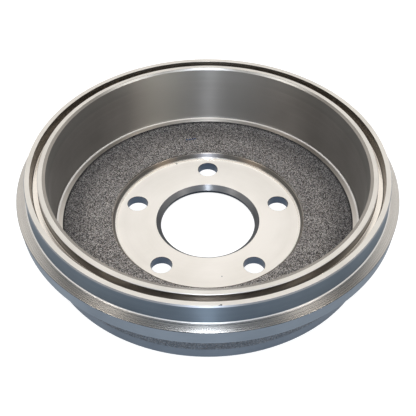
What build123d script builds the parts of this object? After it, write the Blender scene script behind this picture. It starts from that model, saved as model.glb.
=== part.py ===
from build123d import *
from math import radians, tan
import os

# Brake drum for a five-stud wheel: one grey-iron casting, turned all over its working faces
# and drilled. Millimetres. The origin is the centre of the wheel face, and +Z is the drum's
# axis, towards the open mouth.

# Whole drum: from the wheel face to the mouth, and across its stiffening flange. Every wall
# and lip takes its radius from the flange's rim, by the widths named below.
overall_height = 63.7
flange_diameter = 277.4

# Hub plate: the flat disc that is clamped between the axle's hub and the wheel
hub_thickness = 7.0
hub_face_diameter = 138.2
bore_diameter = 71.5
bore_entry_width = 3.5
bore_entry_depth = 3.3
bore_exit_chamfer = 1.8

# Stud holes
stud_count = 5
stud_circle_diameter = 114.3
stud_hole_diameter = 15.6

# Wheel side: the turned seat stands a little proud of the cast web around it
seat_diameter = 156.0
seat_height = 0.8
seat_edge_chamfer = 0.6
bottom_corner_radius = 3.0

# Web inside the drum, left as cast, and the turned step from it down to the hub plate, which
# has a narrow shoulder round its foot
web_step = 5.0
step_taper = 1.35
step_lip_radius = 1.5
step_foot_radius = 0.3
shoulder_width = 1.1
shoulder_height = 1.4
cast_corner_slope = 52.0
cast_corner_radius = 8.0

# Turned ledge round the foot of the braking wall: a shallow cone, and a flat land that meets
# the wall
ledge_rise = 3.3
ledge_width = 3.0
ledge_slope = 11.3
land_width = 2.5

# Braking wall, which the shoes press on, and its opening-out at the mouth
braking_wall_thickness = 9.1
braking_root_radius = 1.7
lead_in_length = 9.0
lead_in_width = 1.95
lead_in_blend_radius = 40.0
mouth_chamfer_width = 2.05
mouth_chamfer_height = 0.65

# Inner ring and the water groove that the backing plate's rim runs in
ring_width = 5.75
ring_outer_chamfer = 0.2
groove_depth = 8.0
groove_width = 5.4
groove_side_taper = 1.2
groove_foot_radius = 0.6

# Outer lip
lip_thickness = 4.0
lip_bevel_width = 0.55
lip_bevel_height = 1.3

# Stiffening flange
flange_width = 7.3
flange_drop = 15.9
flange_top_slope = 8.0
flange_thickness = 11.6
flange_draft = 6.0
flange_foot_radius = 1.0
flange_underside_slope = 10.0
flange_root_radius = 6.0
flange_edge_break = 0.3

# Outside of the braking wall: as cast, with a turned band at its wheel end
cast_wall_draft = 2.0
band_depth = 0.4
band_height = 11.4


def rise(run, degrees):
    """Height gained over a run at a slope given in degrees."""
    return run * tan(radians(degrees))


# Radii that several regions share, from the flange's rim inwards
flange_radius = flange_diameter / 2
lip_radius = flange_radius - flange_width
lip_inner_radius = lip_radius - lip_thickness
ring_radius = lip_inner_radius - groove_width
mouth_radius = ring_radius - ring_width
braking_radius = mouth_radius - lead_in_width
land_radius = braking_radius - land_width
ledge_radius = land_radius - ledge_width
cast_wall_radius = braking_radius + braking_wall_thickness
band_radius = cast_wall_radius - band_depth
flange_low_radius = flange_radius - rise(flange_thickness, flange_draft)
hub_face_radius = hub_face_diameter / 2
step_foot = hub_face_radius + shoulder_width
bore_radius = bore_diameter / 2

# Heights that several regions share
shoulder_top = hub_thickness + shoulder_height
web_height = hub_thickness + web_step
ledge_height = web_height + ledge_rise
land_height = ledge_height + rise(ledge_width, ledge_slope)
groove_floor = overall_height - groove_depth
flange_foot_height = overall_height - flange_drop
flange_edge_height = flange_foot_height - rise(flange_width, flange_top_slope)
flange_low_height = flange_edge_height - flange_thickness


# Each function gives the corners of one region of the half-section, going from the bore
# outwards over the inside and back underneath. A corner is (radius, height, rounding).
def bore_corners():
    return [
        (bore_radius + bore_exit_chamfer, 0, 0),
        (bore_radius, bore_exit_chamfer, 0),
        (bore_radius, hub_thickness - bore_entry_depth, 0),
        (bore_radius + bore_entry_width, hub_thickness, 0),
    ]


def web_corners():
    cast_corner_run = ledge_rise / tan(radians(cast_corner_slope))
    return [
        (hub_face_radius, hub_thickness, step_foot_radius),
        (hub_face_radius, shoulder_top, 0),
        (step_foot, shoulder_top, step_foot_radius),
        (step_foot + step_taper, web_height, step_lip_radius),
        (ledge_radius - cast_corner_run, web_height, cast_corner_radius),
        (ledge_radius, ledge_height, 0),
    ]


def braking_wall_corners():
    lead_in_top = overall_height - mouth_chamfer_height
    return [
        (land_radius, land_height, 0),
        (braking_radius, land_height, braking_root_radius),
        (braking_radius, lead_in_top - lead_in_length, lead_in_blend_radius),
        (mouth_radius, lead_in_top, 0),
        (mouth_radius + mouth_chamfer_width, overall_height, 0),
    ]


def groove_corners():
    return [
        (ring_radius - ring_outer_chamfer, overall_height, 0),
        (ring_radius, overall_height - ring_outer_chamfer, 0),
        (ring_radius, groove_floor, groove_foot_radius),
        (lip_inner_radius - groove_side_taper, groove_floor, groove_foot_radius),
        (lip_inner_radius, overall_height, 0),
    ]


def lip_and_flange_corners():
    cast_wall_length = flange_low_height - (seat_height + band_height)
    flange_root = cast_wall_radius + rise(cast_wall_length, cast_wall_draft)
    flange_root_height = flange_low_height - rise(
        flange_low_radius - flange_root, flange_underside_slope
    )
    return [
        (lip_radius - lip_bevel_width, overall_height, 0),
        (lip_radius, overall_height - lip_bevel_height, 0),
        (lip_radius, flange_foot_height, flange_foot_radius),
        (flange_radius, flange_edge_height, flange_edge_break),
        (flange_low_radius, flange_low_height, flange_edge_break),
        (flange_root, flange_root_height, flange_root_radius),
    ]


def outside_corners():
    band_top = seat_height + band_height
    seat_radius = seat_diameter / 2
    return [
        (cast_wall_radius, band_top + band_depth, 0),
        (band_radius, band_top, 0),
        (band_radius, seat_height, bottom_corner_radius),
        (seat_radius, seat_height, 0),
        (seat_radius - seat_edge_chamfer, 0, 0),
    ]


def half_section():
    """Closed half-section of the drum, in the XZ plane."""
    corners = (
        bore_corners()
        + web_corners()
        + braking_wall_corners()
        + groove_corners()
        + lip_and_flange_corners()
        + outside_corners()
    )
    outline = [(radius, height) for radius, height, rounding in corners]
    roundings = [rounding for radius, height, rounding in corners]
    with BuildSketch(Plane.XZ) as section:
        with BuildLine():
            FilletPolyline(*outline, radius=roundings, close=True)
        make_face()
    return section.sketch


def brake_drum():
    """The turned casting with its stud holes drilled."""
    with BuildPart() as drum:
        add(half_section())
        revolve(axis=Axis.Z)
        with PolarLocations(stud_circle_diameter / 2, stud_count, start_angle=90):
            Cylinder(
                stud_hole_diameter / 2,
                hub_thickness,
                align=(Align.CENTER, Align.CENTER, Align.MIN),
                mode=Mode.SUBTRACT,
            )
    return drum.part


os.makedirs("parts", exist_ok=True)
export_step(brake_drum(), "parts/brake_drum.step")
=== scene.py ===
from math import atan2, ceil, cos, hypot, pi, radians, sin, tan

import bpy
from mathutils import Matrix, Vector, noise
from mathutils.geometry import delaunay_2d_cdt


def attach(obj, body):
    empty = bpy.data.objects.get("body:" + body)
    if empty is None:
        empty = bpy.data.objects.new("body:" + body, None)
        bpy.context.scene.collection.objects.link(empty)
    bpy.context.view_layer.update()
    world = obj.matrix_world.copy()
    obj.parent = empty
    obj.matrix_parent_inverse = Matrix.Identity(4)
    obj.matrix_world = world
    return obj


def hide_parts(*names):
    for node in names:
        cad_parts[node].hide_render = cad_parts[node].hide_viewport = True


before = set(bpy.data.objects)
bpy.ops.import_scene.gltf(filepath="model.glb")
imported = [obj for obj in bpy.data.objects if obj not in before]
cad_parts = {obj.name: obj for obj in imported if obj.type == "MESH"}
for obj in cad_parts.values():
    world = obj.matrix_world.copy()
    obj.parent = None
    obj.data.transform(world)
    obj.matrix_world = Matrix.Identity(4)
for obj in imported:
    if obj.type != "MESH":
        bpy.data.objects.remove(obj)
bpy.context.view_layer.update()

# Brake drum: the looks of the one casting. It is turned again here from the solid's sizes, with
# its cast skin, its broken edges and a finish for each region. The band on the outside, the
# corner at the foot and the ring's outer edge follow the photograph more closely. Metres, +Z
# towards the open mouth, the origin in the middle of the wheel face.

MM = 0.001

# Whole drum. Every wall and lip takes its radius from the flange's rim, by the widths below.
overall_height = 63.7 * MM
flange_diameter = 277.4 * MM

# Hub plate
hub_thickness = 7.0 * MM
hub_face_diameter = 138.2 * MM
bore_diameter = 71.5 * MM
bore_entry_width = 3.5 * MM
bore_entry_depth = 3.3 * MM
bore_exit_chamfer = 1.8 * MM

# Stud holes
stud_count = 5
stud_circle_diameter = 114.3 * MM
stud_hole_diameter = 15.6 * MM
stud_hole_edge = 0.2 * MM

# Wheel side
seat_diameter = 156.0 * MM
seat_height = 0.8 * MM
seat_edge_chamfer = 0.6 * MM
bottom_corner_radius = 1.2 * MM

# Web inside the drum and the step down to the hub plate, with the shoulder round its foot
web_step = 5.0 * MM
step_taper = 1.35 * MM
step_lip_radius = 1.5 * MM
step_foot_radius = 0.3 * MM
shoulder_width = 1.1 * MM
shoulder_height = 1.4 * MM
cast_corner_slope = 52.0
cast_corner_radius = 8.0 * MM

# Turned ledge round the foot of the braking wall, and the flat land that meets the wall
ledge_rise = 3.3 * MM
ledge_width = 3.0 * MM
ledge_slope = 11.3
land_width = 2.5 * MM

# Braking wall and its opening-out at the mouth
braking_wall_thickness = 9.1 * MM
braking_root_radius = 1.7 * MM
lead_in_length = 9.0 * MM
lead_in_width = 1.95 * MM
lead_in_blend_radius = 40.0 * MM
mouth_chamfer_width = 2.05 * MM
mouth_chamfer_height = 0.65 * MM
mouth_edge_radius = 1.2 * MM

# Inner ring and water groove
ring_width = 5.75 * MM
ring_outer_chamfer = 0.45 * MM
groove_depth = 8.0 * MM
groove_width = 5.4 * MM
groove_side_taper = 1.2 * MM
groove_foot_radius = 0.6 * MM

# Outer lip
lip_thickness = 4.0 * MM
lip_bevel_width = 0.55 * MM
lip_bevel_height = 1.3 * MM

# Stiffening flange
flange_width = 7.3 * MM
flange_drop = 15.9 * MM
flange_top_slope = 8.0
flange_thickness = 11.6 * MM
flange_draft = 6.0
flange_foot_radius = 1.0 * MM
flange_underside_slope = 10.0
flange_root_radius = 6.0 * MM
flange_edge_break = 0.3 * MM

# Outside of the braking wall
cast_wall_draft = 2.0
band_depth = 0.4 * MM
band_height = 8.7 * MM

# Fineness of the mesh
segments = 480
hole_segments = 72
hole_edge_steps = 3
turned_edge_break = 0.18 * MM
lead_in_edge = 0.4 * MM
cast_ring_spacing = 1.2 * MM
arc_step = radians(24)

# Distance below which two heights or points are the same
tolerance = 1e-9

# Finishes that are left as cast
cast_finishes = ("cast", "cast_outside")

# Roundings with a finish of their own, by the finishes before and after them
rounding_finishes = {
    ("land", "braking_wall"): "braking_wall",
    ("step", "cast"): "step_lip",
    ("mouth_bevel", "rim"): "mouth_edge",
    ("outer_wall", "flange_top"): "flange_foot",
    ("flange_top", "flange_side"): "flange_edge",
}

# Relief of the cast skin
cast_grain = 0.11 * MM
cast_grain_size = 1.9 * MM
cast_grain_softness = 0.9
cast_grain_step = 2.0
cast_grain_octaves = 3
cast_waves = 0.16 * MM
cast_wave_size = 17.0 * MM
cast_fade = 1.6 * MM

# Rings that the tool left on the turned faces, and the slow changes of their tone. A range
# says between which values a noise goes from nothing to all.
tool_mark_width = 0.45 * MM
tool_mark_depth = 0.005 * MM
broad_ring_width = 9 * tool_mark_width
broad_ring_share = 0.3
turned_cloud_width = 30 * MM
turned_tone_range = (0.36, 0.64)
cut_range = (0.3, 0.7)
roughness_swing = 0.04
quarter_turn = 0.25

# Grains and tints of the cast skin. Inside the drum a painted shade darkens it outwards, where the walls
# shade it, and a painted shadow darkens it most at its brink, next to the ledge.
cast_grain_width = 0.5 * MM
cast_grain_depth = 0.2 * MM
cast_ripple_width = 0.8 * MM
cast_ripple_depth = 0.5 * MM
cast_cloud_width = 18 * MM
cast_cloud_range = (0.3, 0.7)
cast_roughness = (0.56, 0.7)
cast_polish = 0.6
hollow_range = (0.36, 0.62)
speck_range = (0.35, 1.0)
rust_from = 0.6
scale_to = 0.4
tint_share = 0.3
painted_shade_start = 88 * MM
painted_shade_share = 0.55
brink_width = 1.6 * MM
brink_edge = 0.4 * MM
brink_share = 0.85
rust_tint = (128, 104, 88)
scale_tint = (84, 98, 120)
painted_shade_colour = (34, 38, 44)
brink_painted_shadow = (18, 18, 20)

# Small marks that the photograph shows: azimuth in degrees, radius, height, reach and colour.
# A mark fades out over the outer part of its reach.
mark_core = 0.5
hub_marks = [
    (111.6, 68.9 * MM, hub_thickness, 0.9 * MM, (40, 38, 38)),
    (-80.0, 58.0 * MM, hub_thickness, 0.6 * MM, (150, 148, 150)),
]
rim_marks = [
    (-86.4, 130.4 * MM, overall_height, 0.9 * MM, (40, 38, 38)),
    (-86.9, 130.9 * MM, overall_height, 0.7 * MM, (70, 70, 74)),
]
paint_marks = [
    (101.0, 90.4 * MM, 12.0 * MM, 1.1 * MM, (52, 78, 128)),
    (99.6, 90.0 * MM, 12.0 * MM, 1.1 * MM, (60, 84, 130)),
    (98.2, 90.3 * MM, 12.0 * MM, 1.0 * MM, (52, 78, 128)),
    (96.9, 90.6 * MM, 12.0 * MM, 1.2 * MM, (46, 70, 124)),
]

# Painted highlights: lighter upright streaks painted on turned faces where the lamps glint, each laid
# over those before it: azimuth and half width in degrees, and colour
wall_painted_highlights = [
    (109, 19, (182, 177, 168)),
    (76, 20, (150, 147, 143)),
]
step_painted_highlights = [
    (90, 13, (170, 168, 172)),
    (60, 13, (154, 141, 128)),
    (120, 13, (160, 145, 130)),
]
bevel_painted_highlights = [
    (60, 22, (255, 253, 248)),
    (120, 22, (255, 253, 248)),
    (102, 12, (206, 202, 196)),
    (90, 14, (255, 255, 255)),
]
lip_painted_highlights = [(-91, 14, (204, 210, 220))]

# The photograph's camera, found from the drum's own circles, and the image that it fills
image_width = 416
camera_distance = 0.6506
camera_elevation = 41.595
focal_length_pixels = 903.5
optical_axis_pixel = (207.80, 163.93)
sensor_width = 36.0

# Studio: the white walls reach up to the darker ceiling, which is lighter towards the front,
# where a window would be. The light from the front is cooler.
wall_level = 1.0
ceiling_level = 0.11
window_level = 0.6
wall_top_elevation = 46.0
ceiling_elevation = 56.0
window_from = -0.05
window_to = -0.4
cool_from = -0.4
cool_to = -0.9
warm_light = (1.0, 0.99, 0.97, 1)
cool_light = (0.86, 0.95, 1.06, 1)

# Floor: it glows where it is seen, by as much as lifts it to white
floor_half_width = 4.0
floor_reflectance = 0.5
floor_roughness = 0.9
floor_glow = 0.8

# Lamps: a long one over the middle, higher at the back, and a short one on each side
middle_lamp_place = (0, -0.75, 0.72)
middle_lamp_lean = radians(18)
middle_lamp_size = (0.07, 2.4)
middle_lamp_watts = 5.6
middle_lamp_colour = (0.86, 0.92, 1.0)
side_lamp_distance = 0.42
side_lamp_depth = -0.02
side_lamp_height = 0.9
side_lamp_tilt = radians(25)
side_lamp_size = (0.14, 0.2)
side_lamp_watts = 1.0
side_lamp_colour = (1.0, 0.94, 0.87)


def rise(run, degrees):
    """Height gained over a run at a slope given in degrees."""
    return run * tan(radians(degrees))


# Radii that several regions share, from the flange's rim inwards
flange_radius = flange_diameter / 2
lip_radius = flange_radius - flange_width
lip_inner_radius = lip_radius - lip_thickness
ring_radius = lip_inner_radius - groove_width
mouth_radius = ring_radius - ring_width
braking_radius = mouth_radius - lead_in_width
land_radius = braking_radius - land_width
ledge_radius = land_radius - ledge_width
cast_wall_radius = braking_radius + braking_wall_thickness
band_radius = cast_wall_radius - band_depth
flange_low_radius = flange_radius - rise(flange_thickness, flange_draft)
hub_face_radius = hub_face_diameter / 2
step_foot = hub_face_radius + shoulder_width
bore_radius = bore_diameter / 2

# Heights that several regions share
shoulder_top = hub_thickness + shoulder_height
web_height = hub_thickness + web_step
ledge_height = web_height + ledge_rise
land_height = ledge_height + rise(ledge_width, ledge_slope)
groove_floor = overall_height - groove_depth
flange_foot_height = overall_height - flange_drop
flange_edge_height = flange_foot_height - rise(flange_width, flange_top_slope)
flange_low_height = flange_edge_height - flange_thickness


# The half-section
# Each function gives the corners of one region, going from the bore outwards over the inside
# and back underneath. A corner is (radius, height, rounding, finish of what follows it).
def bore_corners():
    return [
        (bore_radius + bore_exit_chamfer, 0, 0, "bore"),
        (bore_radius, bore_exit_chamfer, 0, "bore"),
        (bore_radius, hub_thickness - bore_entry_depth, 0, "bore_entry"),
        (bore_radius + bore_entry_width, hub_thickness, 0, "hub_face"),
    ]


def web_corners():
    cast_corner_run = ledge_rise / tan(radians(cast_corner_slope))
    return [
        (hub_face_radius, hub_thickness, step_foot_radius, "shoulder"),
        (hub_face_radius, shoulder_top, 0, "shoulder"),
        (step_foot, shoulder_top, step_foot_radius, "step"),
        (step_foot + step_taper, web_height, step_lip_radius, "cast"),
        (ledge_radius - cast_corner_run, web_height, cast_corner_radius, "cast"),
        (ledge_radius, ledge_height, 0, "ledge"),
    ]


def braking_wall_corners():
    lead_in_top = overall_height - mouth_chamfer_height
    return [
        (land_radius, land_height, 0, "land"),
        (braking_radius, land_height, braking_root_radius, "braking_wall"),
        (braking_radius, lead_in_top - lead_in_length, lead_in_blend_radius, "lead_in"),
        (mouth_radius, lead_in_top, lead_in_edge, "mouth_bevel"),
        (mouth_radius + mouth_chamfer_width, overall_height, mouth_edge_radius, "rim"),
    ]


def groove_corners():
    return [
        (ring_radius - ring_outer_chamfer, overall_height, 0, "ring_chamfer"),
        (ring_radius, overall_height - ring_outer_chamfer, 0, "ring_side"),
        (ring_radius, groove_floor, groove_foot_radius, "groove_floor"),
        (lip_inner_radius - groove_side_taper, groove_floor, groove_foot_radius, "groove"),
        (lip_inner_radius, overall_height, 0, "rim"),
    ]


def lip_and_flange_corners():
    cast_wall_length = flange_low_height - (seat_height + band_height)
    flange_root = cast_wall_radius + rise(cast_wall_length, cast_wall_draft)
    flange_root_height = flange_low_height - rise(
        flange_low_radius - flange_root, flange_underside_slope
    )
    return [
        (lip_radius - lip_bevel_width, overall_height, 0, "lip_bevel"),
        (lip_radius, overall_height - lip_bevel_height, 0, "outer_wall"),
        (lip_radius, flange_foot_height, flange_foot_radius, "flange_top"),
        (flange_radius, flange_edge_height, flange_edge_break, "flange_side"),
        (flange_low_radius, flange_low_height, flange_edge_break, "cast_outside"),
        (flange_root, flange_root_height, flange_root_radius, "cast_outside"),
    ]


def outside_corners():
    band_top = seat_height + band_height
    seat_radius = seat_diameter / 2
    return [
        (cast_wall_radius, band_top + band_depth, 0, "turned_band"),
        (band_radius, band_top, 0, "turned_band"),
        (band_radius, seat_height, bottom_corner_radius, "cast_outside"),
        (seat_radius, seat_height, 0, "seat"),
        (seat_radius - seat_edge_chamfer, 0, 0, "seat"),
    ]


class Station:
    """One point of the half-section: its place, its outward normal and the finish that follows it."""

    def __init__(self, radius, height, normal, finish):
        self.radius = radius
        self.height = height
        self.normal = normal
        self.finish = finish


def corner_arc(before, corner, after):
    """The points and outward normals of the rounding at a corner. The solid lies right of the path."""
    place = Vector(corner[:2])
    way_in = (place - Vector(before[:2])).normalized()
    way_out = (Vector(after[:2]) - place).normalized()
    turn = atan2(way_in.x * way_out.y - way_in.y * way_out.x, way_in.dot(way_out))
    rounding = corner[2] or turned_edge_break
    tangent_length = rounding * abs(tan(turn / 2))
    side = 1 if turn > 0 else -1
    start = place - way_in * tangent_length
    centre = start + Vector((-way_in.y, way_in.x)) * side * rounding
    steps = max(2, ceil(abs(turn) / arc_step))
    arc = []
    for step in range(steps + 1):
        angle = turn * step / steps
        heading = Vector(
            (way_in.x * cos(angle) - way_in.y * sin(angle), way_in.x * sin(angle) + way_in.y * cos(angle))
        )
        outward = Vector((-heading.y, heading.x))
        point = centre - outward * side * rounding
        arc.append((point, outward))
    return arc


def half_section():
    """The closed half-section as stations, finely stepped where the skin is cast.

    A rounding is half in the finish before it and half in the next. Before a cast skin it is all
    in the first, and a few roundings have a finish of their own after their first step.
    """
    corners = (
        bore_corners()
        + web_corners()
        + braking_wall_corners()
        + groove_corners()
        + lip_and_flange_corners()
        + outside_corners()
    )
    arcs = []
    for index, corner in enumerate(corners):
        arcs.append(corner_arc(corners[index - 1], corner, corners[(index + 1) % len(corners)]))
    stations = []
    for index, arc in enumerate(arcs):
        finish_before = corners[index - 1][3]
        finish_after = corners[index][3]
        last = len(arc) - 1
        switch = last if finish_after in cast_finishes else last / 2
        own_finish = rounding_finishes.get((finish_before, finish_after))
        for step, (point, normal) in enumerate(arc):
            finish = finish_before if step < switch else finish_after
            if own_finish and 0 < step < last:
                finish = own_finish
            stations.append(Station(point.x, point.y, normal, finish))
        if finish_after in cast_finishes:
            stations += steps_between(arc[-1], arcs[(index + 1) % len(arcs)][0], finish_after)
    return stations


def steps_between(start, end, finish):
    """Evenly spaced stations of cast skin between two points of the half-section."""
    (first, normal), (last, _) = start, end
    count = max(1, round((last - first).length / cast_ring_spacing))
    stations = []
    for step in range(1, count):
        point = first.lerp(last, step / count)
        stations.append(Station(point.x, point.y, normal, finish))
    return stations


class Casting:
    """Gathers the vertices, faces, normals and finishes of the one closed mesh."""

    def __init__(self):
        self.vertices = []
        self.normals = []
        self.faces = []
        self.finishes = []

    def add_vertex(self, place, normal):
        self.vertices.append(place)
        self.normals.append(normal)
        return len(self.vertices) - 1

    def add_face(self, corners, finish):
        self.faces.append(corners)
        self.finishes.append(finish)

    def add_strip(self, near, far, finish):
        """Quads between two rings of equally many vertices."""
        count = len(near)
        for index in range(count):
            after = (index + 1) % count
            self.add_face((near[index], far[index], far[after], near[after]), finish)


def cast_offset(place):
    """How far the cast skin stands off its smooth shape at a place."""
    grain = noise.fractal(
        place / cast_grain_size, cast_grain_softness, cast_grain_step, cast_grain_octaves
    )
    waves = noise.noise(place / cast_wave_size)
    return cast_grain * grain + cast_waves * waves


def cast_weights(stations):
    """How much of the relief each station takes: it fades in from the edges of the cast skin."""
    count = len(stations)
    weights = []
    for index, station in enumerate(stations):
        is_cast = station.finish in cast_finishes and stations[index - 1].finish in cast_finishes
        weights.append(1.0 if is_cast else 0.0)
    for direction in (1, -1):
        distance = cast_fade
        order = range(count) if direction == 1 else range(count - 1, -1, -1)
        for index in order:
            station, last = stations[index], stations[(index - direction) % count]
            distance += hypot(station.radius - last.radius, station.height - last.height)
            if weights[index] == 0.0:
                distance = 0.0
            weights[index] = min(weights[index], distance / cast_fade)
    return weights


def add_rings(casting, stations):
    """A ring of vertices for each station, roughened where the skin is cast."""
    rings = []
    for station, weight in zip(stations, cast_weights(stations)):
        ring = []
        for segment in range(segments):
            angle = 2 * pi * segment / segments
            across, along = cos(angle), sin(angle)
            place = Vector((station.radius * across, station.radius * along, station.height))
            slant, lift = station.normal
            normal = Vector((slant * across, slant * along, lift))
            if weight > 0:
                place += normal * cast_offset(place) * weight
                normal = Vector((0, 0, 0))
            ring.append(casting.add_vertex(place, normal))
        rings.append(ring)
    return rings


def stud_hole_rings(casting, angle):
    """The rings of one stud hole from the hub face down to the seat, with a broken edge at each end."""
    hole_radius = stud_hole_diameter / 2
    path = []
    for step in range(hole_edge_steps + 1):
        tilt = radians(90 - 90 * step / hole_edge_steps)
        reach = hole_radius + stud_hole_edge * (1 - cos(tilt))
        path.append((reach, hub_thickness - stud_hole_edge * (1 - sin(tilt)), tilt))
    for step in range(hole_edge_steps + 1):
        tilt = radians(-90 * step / hole_edge_steps)
        reach = hole_radius + stud_hole_edge * (1 - cos(tilt))
        path.append((reach, stud_hole_edge * (1 + sin(tilt)), tilt))
    middle = Vector((cos(angle), sin(angle), 0)) * stud_circle_diameter / 2
    rings = []
    for radius, height, tilt in path:
        ring = []
        for segment in range(hole_segments):
            around = 2 * pi * segment / hole_segments
            outwards = Vector((cos(around), sin(around), 0))
            normal = Vector((0, 0, sin(tilt))) - outwards * cos(tilt)
            ring.append(casting.add_vertex(middle + outwards * radius + Vector((0, 0, height)), normal))
        rings.append(ring)
    return rings


def add_plate(casting, loops, finish, faces_up):
    """A flat face between closed loops of vertices: the outermost loop's inside, less the others."""
    owners = {}
    indices = []
    edges = []
    for owner, loop in enumerate(loops):
        first = len(indices)
        for step, vertex in enumerate(loop):
            owners[vertex] = owner
            indices.append(vertex)
            edges.append((first + step, first + (step + 1) % len(loop)))
    flat = [casting.vertices[index].xy for index in indices]
    made = delaunay_2d_cdt(flat, edges, [], 0, tolerance)
    triangles, origins = made[2], made[3]
    for triangle in triangles:
        corners = [indices[origins[corner][0]] for corner in triangle]
        if len({owners[corner] for corner in corners}) == 1:
            continue
        casting.add_face(tuple(corners if faces_up else reversed(corners)), finish)


def build_casting():
    """The drum as one closed mesh, with the finish of every face."""
    casting = Casting()
    stations = half_section()
    rings = add_rings(casting, stations)
    holes = []
    for stud in range(stud_count):
        holes.append(stud_hole_rings(casting, radians(90) + 2 * pi * stud / stud_count))
    for index, station in enumerate(stations):
        following = (index + 1) % len(stations)
        is_flat = abs(station.height - stations[following].height) < tolerance
        if station.finish == "hub_face" and is_flat:
            loops = [rings[following], rings[index]] + [hole[0] for hole in holes]
            add_plate(casting, loops, "hub_face", True)
        elif station.finish == "seat" and is_flat:
            loops = [rings[index], rings[following]] + [hole[-1] for hole in holes]
            add_plate(casting, loops, "seat", False)
        else:
            casting.add_strip(rings[index], rings[following], station.finish)
    for hole in holes:
        for depth, (upper, lower) in enumerate(zip(hole, hole[1:])):
            casting.add_strip(lower, upper, "hole_edge" if depth < hole_edge_steps else "stud_hole")
    return casting


def casting_object(casting, materials):
    """The casting as one object, with a material slot for each finish."""
    mesh = bpy.data.meshes.new("drum_casting")
    mesh.from_pydata(casting.vertices, [], casting.faces)
    slots = sorted(materials)
    for finish in slots:
        mesh.materials.append(materials[finish])
    mesh.polygons.foreach_set("material_index", [slots.index(finish) for finish in casting.finishes])
    mesh.polygons.foreach_set("use_smooth", [True] * len(mesh.polygons))
    mesh.normals_split_custom_set_from_vertices(casting.normals)
    mesh.update()
    drum = bpy.data.objects.new("drum_casting", mesh)
    bpy.context.scene.collection.objects.link(drum)
    return drum


# Finishes
def linear(red, green, blue):
    """A colour seen on screen, 0 to 255, as the shader wants it."""
    levels = []
    for value in (red, green, blue):
        share = value / 255
        levels.append(share / 12.92 if share <= 0.04045 else ((share + 0.055) / 1.055) ** 2.4)
    return (*levels, 1.0)


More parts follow.
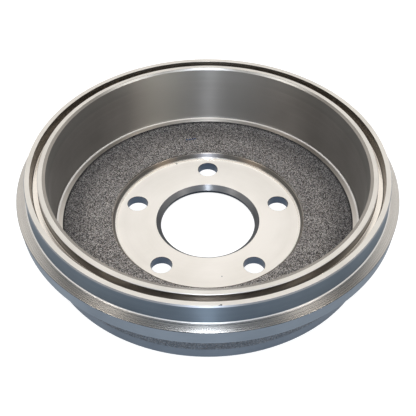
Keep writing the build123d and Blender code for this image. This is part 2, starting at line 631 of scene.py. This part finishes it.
class Tree:
    """The nodes of a material or of the world, with short calls for the few that are used here."""

    def __init__(self, owner, shader="Principled BSDF"):
        owner.use_nodes = True
        self.nodes = owner.node_tree.nodes
        self.links = owner.node_tree.links
        self.shader = self.nodes[shader]

    def add(self, kind, **settings):
        node = self.nodes.new(kind)
        for name, value in settings.items():
            setattr(node, name, value)
        return node

    def feed(self, socket, value):
        """Links an output to a socket, or sets the socket to a plain value."""
        if isinstance(value, bpy.types.NodeSocket):
            self.links.new(value, socket)
        else:
            socket.default_value = value

    def give(self, name, value):
        """Feeds an input of the shader."""
        self.feed(self.shader.inputs[name], value)

    def math(self, operation, first, second=0.0):
        node = self.add("ShaderNodeMath", operation=operation)
        self.feed(node.inputs[0], first)
        self.feed(node.inputs[1], second)
        return node.outputs[0]

    def place(self):
        return self.add("ShaderNodeTexCoord").outputs["Object"]

    def apart(self, vector):
        node = self.add("ShaderNodeSeparateXYZ")
        self.feed(node.inputs[0], vector)
        return node.outputs

    def radius(self):
        """Distance from the drum's axis."""
        x, y, _ = self.apart(self.place())
        squares = self.math("ADD", self.math("POWER", x, 2.0), self.math("POWER", y, 2.0))
        return self.math("SQRT", squares)

    def turning_place(self):
        """Radius and height, so that a pattern runs in rings round the axis."""
        together = self.add("ShaderNodeCombineXYZ")
        self.feed(together.inputs[0], self.radius())
        self.feed(together.inputs[1], self.apart(self.place())[2])
        return together.outputs[0]

    def noise(self, place, size, detail=2.0, roughness=0.5):
        node = self.add("ShaderNodeTexNoise")
        self.feed(node.inputs["Vector"], place)
        node.inputs["Scale"].default_value = 1 / size
        node.inputs["Detail"].default_value = detail
        node.inputs["Roughness"].default_value = roughness
        return node.outputs["Fac"]

    def grains(self, place, width):
        """Two random numbers for each of many small cells."""
        node = self.add("ShaderNodeTexVoronoi")
        self.feed(node.inputs["Vector"], place)
        node.inputs["Scale"].default_value = 1 / width
        apart = self.add("ShaderNodeSeparateColor")
        self.feed(apart.inputs[0], node.outputs["Color"])
        return apart.outputs[0], apart.outputs[1]

    def spread(self, value, low, high, bottom=0.0, top=1.0, ramp="LINEAR"):
        """Stretches the range low to high of a value over bottom to top."""
        node = self.add("ShaderNodeMapRange", interpolation_type=ramp)
        self.feed(node.inputs["Value"], value)
        self.feed(node.inputs["From Min"], low)
        self.feed(node.inputs["From Max"], high)
        self.feed(node.inputs["To Min"], bottom)
        self.feed(node.inputs["To Max"], top)
        return node.outputs[0]

    def blend(self, share, first, second):
        node = self.add("ShaderNodeMix", data_type="RGBA")
        self.feed(node.inputs[0], share)
        self.feed(node.inputs[6], first)
        self.feed(node.inputs[7], second)
        return node.outputs[2]

    def marked(self, colour, marks):
        """The colour with small stains on it. A mark is (azimuth, radius, height, reach, colour)."""
        for azimuth, radius, height, reach, stain in marks:
            angle = radians(azimuth)
            apart = self.add("ShaderNodeVectorMath", operation="DISTANCE")
            self.feed(apart.inputs[0], self.place())
            apart.inputs[1].default_value = (radius * cos(angle), radius * sin(angle), height)
            cover = self.spread(apart.outputs["Value"], mark_core * reach, reach, 1.0, 0.0)
            colour = self.blend(cover, colour, linear(*stain))
        return colour

    def with_painted_highlights(self, colour, painted_highlights):
        """The colour with soft upright painted highlights on it. A painted highlight is (azimuth, half
        width, colour).
        """
        for azimuth, half_width, highlight_colour in painted_highlights:
            angle = radians(azimuth)
            flat = self.add("ShaderNodeVectorMath", operation="MULTIPLY")
            self.feed(flat.inputs[0], self.place())
            flat.inputs[1].default_value = (1, 1, 0)
            way = self.add("ShaderNodeVectorMath", operation="NORMALIZE")
            self.feed(way.inputs[0], flat.outputs["Vector"])
            towards = self.add("ShaderNodeVectorMath", operation="DOT_PRODUCT")
            self.feed(towards.inputs[0], way.outputs["Vector"])
            towards.inputs[1].default_value = (cos(angle), sin(angle), 0)
            turned = self.math("ARCCOSINE", towards.outputs["Value"])
            cover = self.spread(turned, radians(half_width), 0.0, ramp="SMOOTHSTEP")
            colour = self.blend(cover, colour, linear(*highlight_colour))
        return colour

    def bump(self, height, distance, under=None):
        node = self.add("ShaderNodeBump")
        self.feed(node.inputs["Height"], height)
        node.inputs["Distance"].default_value = distance
        if under is not None:
            self.feed(node.inputs["Normal"], under)
        return node.outputs[0]


def turned_iron(name, dull, bright, roughness, anisotropy, polish=1.0, marks=(), painted_highlights=(), edge=1.0):
    """Iron straight from the lathe: fine rings, faint broad rings and slow changes of tone.

    Polish is the share that shines as bare metal, and edge is how much of that shine is left
    where the face is seen edge-on.
    """
    material = bpy.data.materials.new(name)
    tree = Tree(material)
    rings = tree.turning_place()
    cuts = tree.noise(rings, tool_mark_width, 3.0, 0.6)
    broad_rings = tree.math("MULTIPLY", tree.noise(rings, broad_ring_width, 2.0), broad_ring_share)
    clouds = tree.noise(tree.place(), turned_cloud_width, 3.0)
    tone = tree.math("ADD", broad_rings, tree.math("MULTIPLY", clouds, 1 - broad_ring_share))
    colour = tree.blend(tree.spread(tone, *turned_tone_range), linear(*dull), linear(*bright))
    smoothest, roughest = roughness - roughness_swing, roughness + roughness_swing
    # The base colour carries the painted highlights laid over the turned tone, and the marks.
    tree.give("Base Color", tree.marked(tree.with_painted_highlights(colour, painted_highlights), marks))
    tree.give("Metallic", polish)
    tree.give("Specular Tint", (edge, edge, edge, 1.0))
    tree.give("Roughness", tree.spread(cuts, *cut_range, smoothest, roughest))
    tree.give("Anisotropic", anisotropy)
    tree.give("Anisotropic Rotation", quarter_turn)
    tree.give("Tangent", tree.add("ShaderNodeTangent", direction_type="RADIAL", axis="Z").outputs[0])
    tree.give("Normal", tree.bump(cuts, tool_mark_depth))
    return material


def painted_shade_outwards(tree, colour):
    """The colour under a painted shade that thickens towards the ledge, with a painted shadow at the
    brink.
    """
    radius = tree.radius()
    painted_shade = tree.spread(radius, painted_shade_start, ledge_radius, 0.0, painted_shade_share)
    colour = tree.blend(painted_shade, colour, linear(*painted_shade_colour))
    brink = tree.spread(radius, ledge_radius - brink_width, ledge_radius - brink_edge, 0.0, brink_share)
    return tree.blend(brink, colour, linear(*brink_painted_shadow))


def cast_iron(name, shadow, body, speck, painted_shade=False, marks=()):
    """Sand-cast iron: dark and granular, each grain of its own brightness and faint tint."""
    material = bpy.data.materials.new(name)
    tree = Tree(material)
    place = tree.place()
    ripples = tree.noise(place, cast_ripple_width, 3.0, 0.7)
    grains, tints = tree.grains(place, cast_grain_width)
    clouds = tree.noise(place, cast_cloud_width, 2.0)
    colour = tree.blend(tree.spread(ripples, *hollow_range), linear(*shadow), linear(*body))
    colour = tree.blend(tree.spread(grains, *speck_range), colour, linear(*speck))
    rusty = tree.spread(tints, rust_from, 1.0, 0.0, tint_share)
    colour = tree.blend(rusty, colour, linear(*rust_tint))
    scaly = tree.spread(tints, 0.0, scale_to, tint_share, 0.0)
    colour = tree.blend(scaly, colour, linear(*scale_tint))
    # Painted shade towards the ledge, where the walls shade the web, and a painted shadow at its brink.
    if painted_shade:
        colour = painted_shade_outwards(tree, colour)
    coarse = tree.bump(ripples, cast_ripple_depth)
    tree.give("Base Color", tree.marked(colour, marks))
    tree.give("Metallic", cast_polish)
    tree.give("Roughness", tree.spread(clouds, *cast_cloud_range, *cast_roughness))
    tree.give("Normal", tree.bump(grains, cast_grain_depth, under=coarse))
    return material


# The finishes. A turned one has its dull and its bright colour, its roughness, its anisotropy and its
# polish, and a cast one has the colours of its hollows, its skin and its specks. The turned faces are all
# one iron, and their colours differ from face to face as painted light and shade: near white where they
# face up to the light, darker on the upright walls, dark in the bore and stud holes, and bluish grey on
# the outside, turned and cast, as a painted reflection of bluish surroundings. The dark roundings
# hole_edge, mouth_edge and flange_edge are painted shade lines, and flange_foot is a painted highlight
# line.
finishes = [
    turned_iron("hub_face", (246, 239, 229), (255, 248, 239), 0.46, 0.5, 0.1, marks=hub_marks),
    turned_iron("rim", (206, 200, 191), (220, 214, 205), 0.46, 0.5, 0.3, marks=rim_marks),
    turned_iron("shoulder", (246, 241, 234), (255, 250, 243), 0.27, 0.75),
    turned_iron("step", (110, 107, 103), (124, 121, 117), 0.46, 1.0, painted_highlights=step_painted_highlights),
    turned_iron("step_lip", (128, 122, 116), (142, 136, 130), 0.24, 0.6, edge=0.3),
    turned_iron("bore_entry", (114, 115, 118), (130, 131, 134), 0.32, 0.9, edge=0.3),
    turned_iron("bore", (36, 42, 50), (46, 52, 60), 0.4, 0.6),
    turned_iron("stud_hole", (66, 77, 92), (84, 95, 110), 0.4, 0.3),
    turned_iron("hole_edge", (22, 22, 24), (34, 34, 36), 0.5, 0.0, edge=0.2),
    turned_iron("ledge", (216, 209, 201), (230, 223, 215), 0.3, 0.85),
    turned_iron("land", (250, 243, 235), (255, 250, 243), 0.4, 0.85, 0.2),
    turned_iron("braking_wall", (122, 119, 116), (132, 129, 126), 0.48, 1.0, painted_highlights=wall_painted_highlights),
    turned_iron("lead_in", (118, 116, 113), (126, 124, 121), 0.48, 1.0, painted_highlights=wall_painted_highlights),
    turned_iron("mouth_bevel", (164, 158, 151), (176, 170, 163), 0.42, 0.9, painted_highlights=bevel_painted_highlights),
    turned_iron("mouth_edge", (96, 91, 86), (112, 107, 102), 0.4, 0.6),
    turned_iron("ring_chamfer", (222, 218, 214), (234, 230, 226), 0.4, 0.8),
    turned_iron("groove", (164, 156, 146), (178, 170, 160), 0.24, 0.8),
    turned_iron("groove_floor", (244, 236, 226), (254, 246, 236), 0.18, 0.6),
    turned_iron("ring_side", (118, 115, 112), (132, 129, 126), 0.3, 0.5),
    turned_iron("lip_bevel", (128, 130, 134), (142, 144, 148), 0.4, 0.9, painted_highlights=lip_painted_highlights),
    turned_iron("outer_wall", (96, 107, 118), (106, 117, 128), 0.5, 1.0),
    turned_iron("flange_foot", (216, 214, 212), (228, 226, 224), 0.34, 0.8),
    turned_iron("flange_top", (194, 190, 185), (206, 202, 197), 0.27, 0.75),
    turned_iron("flange_edge", (52, 56, 62), (64, 68, 74), 0.4, 0.0, edge=0.3),
    turned_iron("flange_side", (110, 120, 131), (122, 132, 143), 0.5, 0.7, edge=0.8),
    turned_iron("turned_band", (93, 103, 115), (105, 115, 127), 0.5, 0.6),
    turned_iron("seat", (205, 203, 200), (225, 222, 218), 0.42, 0.5, 0.5),
    # The web inside the drum takes the painted shade and the painted shadow towards the ledge.
    cast_iron("cast", (10, 9, 9), (104, 99, 95), (240, 234, 229), painted_shade=True, marks=paint_marks),
    cast_iron("cast_outside", (48, 55, 62), (78, 88, 98), (122, 132, 143)),
]
materials = {material.name: material for material in finishes}

drum = casting_object(build_casting(), materials)
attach(drum, "root")
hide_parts("brake_drum")


# Floor, light and camera
def seen_directly(tree):
    """1 for rays from the camera, off gloss or through glass, 0 for the light that falls on things."""
    path = tree.add("ShaderNodeLightPath")
    seen = path.outputs["Is Camera Ray"]
    for name in ("Is Glossy Ray", "Is Transmission Ray"):
        seen = tree.math("MAXIMUM", seen, path.outputs[name])
    return seen


def floor_material():
    """A matt white that keeps the shadow and glows only where it is seen."""
    material = bpy.data.materials.new("floor")
    tree = Tree(material)
    grey = floor_reflectance
    tree.give("Base Color", (grey, grey, grey, 1))
    tree.give("Roughness", floor_roughness)
    tree.give("Specular IOR Level", 0.0)
    tree.give("Emission Color", (1, 1, 1, 1))
    tree.give("Emission Strength", tree.math("MULTIPLY", seen_directly(tree), floor_glow))
    return material


def make_floor():
    """A wide flat floor at the height of the wheel face."""
    half = floor_half_width
    corners = [(-half, -half, 0), (half, -half, 0), (half, half, 0), (-half, half, 0)]
    mesh = bpy.data.meshes.new("floor")
    mesh.from_pydata(corners, [], [(0, 1, 2, 3)])
    mesh.materials.append(floor_material())
    floor = bpy.data.objects.new("floor", mesh)
    bpy.context.scene.collection.objects.link(floor)


def make_world():
    """A studio with white walls under a darker ceiling, and cooler daylight from the front."""
    world = bpy.data.worlds.new("studio")
    bpy.context.scene.world = world
    tree = Tree(world, "Background")
    _, forwards, upwards = tree.apart(tree.add("ShaderNodeTexCoord").outputs["Generated"])
    overhead = tree.spread(forwards, window_from, window_to, ceiling_level, window_level)
    wall_top = sin(radians(wall_top_elevation))
    ceiling_edge = sin(radians(ceiling_elevation))
    tree.give(
        "Strength",
        tree.spread(upwards, wall_top, ceiling_edge, wall_level, overhead, ramp="SMOOTHSTEP"),
    )
    tree.give("Color", tree.blend(tree.spread(forwards, cool_from, cool_to), warm_light, cool_light))


def add_strip_lamp(place, lean, tilt, size, watts, colour):
    """A lamp that runs from front to back, raised at its back by lean and turned by tilt."""
    lamp = bpy.data.lights.new("strip_lamp", "AREA")
    lamp.shape = "RECTANGLE"
    lamp.size, lamp.size_y = size
    lamp.energy = watts
    lamp.color = colour
    strip = bpy.data.objects.new("strip_lamp", lamp)
    strip.location = place
    strip.rotation_euler = (lean, tilt, 0)
    bpy.context.scene.collection.objects.link(strip)


def hang_lamps():
    """The long lamp over the middle and the short one on each side."""
    add_strip_lamp(
        middle_lamp_place, middle_lamp_lean, 0, middle_lamp_size, middle_lamp_watts, middle_lamp_colour
    )
    for side in (-1, 1):
        place = (side * side_lamp_distance, side_lamp_depth, side_lamp_height)
        tilt = side * side_lamp_tilt
        add_strip_lamp(place, 0, tilt, side_lamp_size, side_lamp_watts, side_lamp_colour)


def make_camera():
    """The photograph's camera, aimed at the middle of the drum's mouth."""
    data = bpy.data.cameras.new("camera")
    data.sensor_width = sensor_width
    data.lens = sensor_width * focal_length_pixels / image_width
    data.shift_x = (image_width / 2 - optical_axis_pixel[0]) / image_width
    data.shift_y = (optical_axis_pixel[1] - image_width / 2) / image_width
    camera = bpy.data.objects.new("camera", data)
    elevation = radians(camera_elevation)
    camera.location = (
        0, -camera_distance * cos(elevation), overall_height + camera_distance * sin(elevation)
    )
    camera.rotation_euler = (pi / 2 - elevation, 0, 0)
    bpy.context.scene.collection.objects.link(camera)
    bpy.context.scene.camera = camera


make_floor()
make_world()
hang_lamps()
make_camera()
bpy.context.scene.view_settings.view_transform = "Standard"
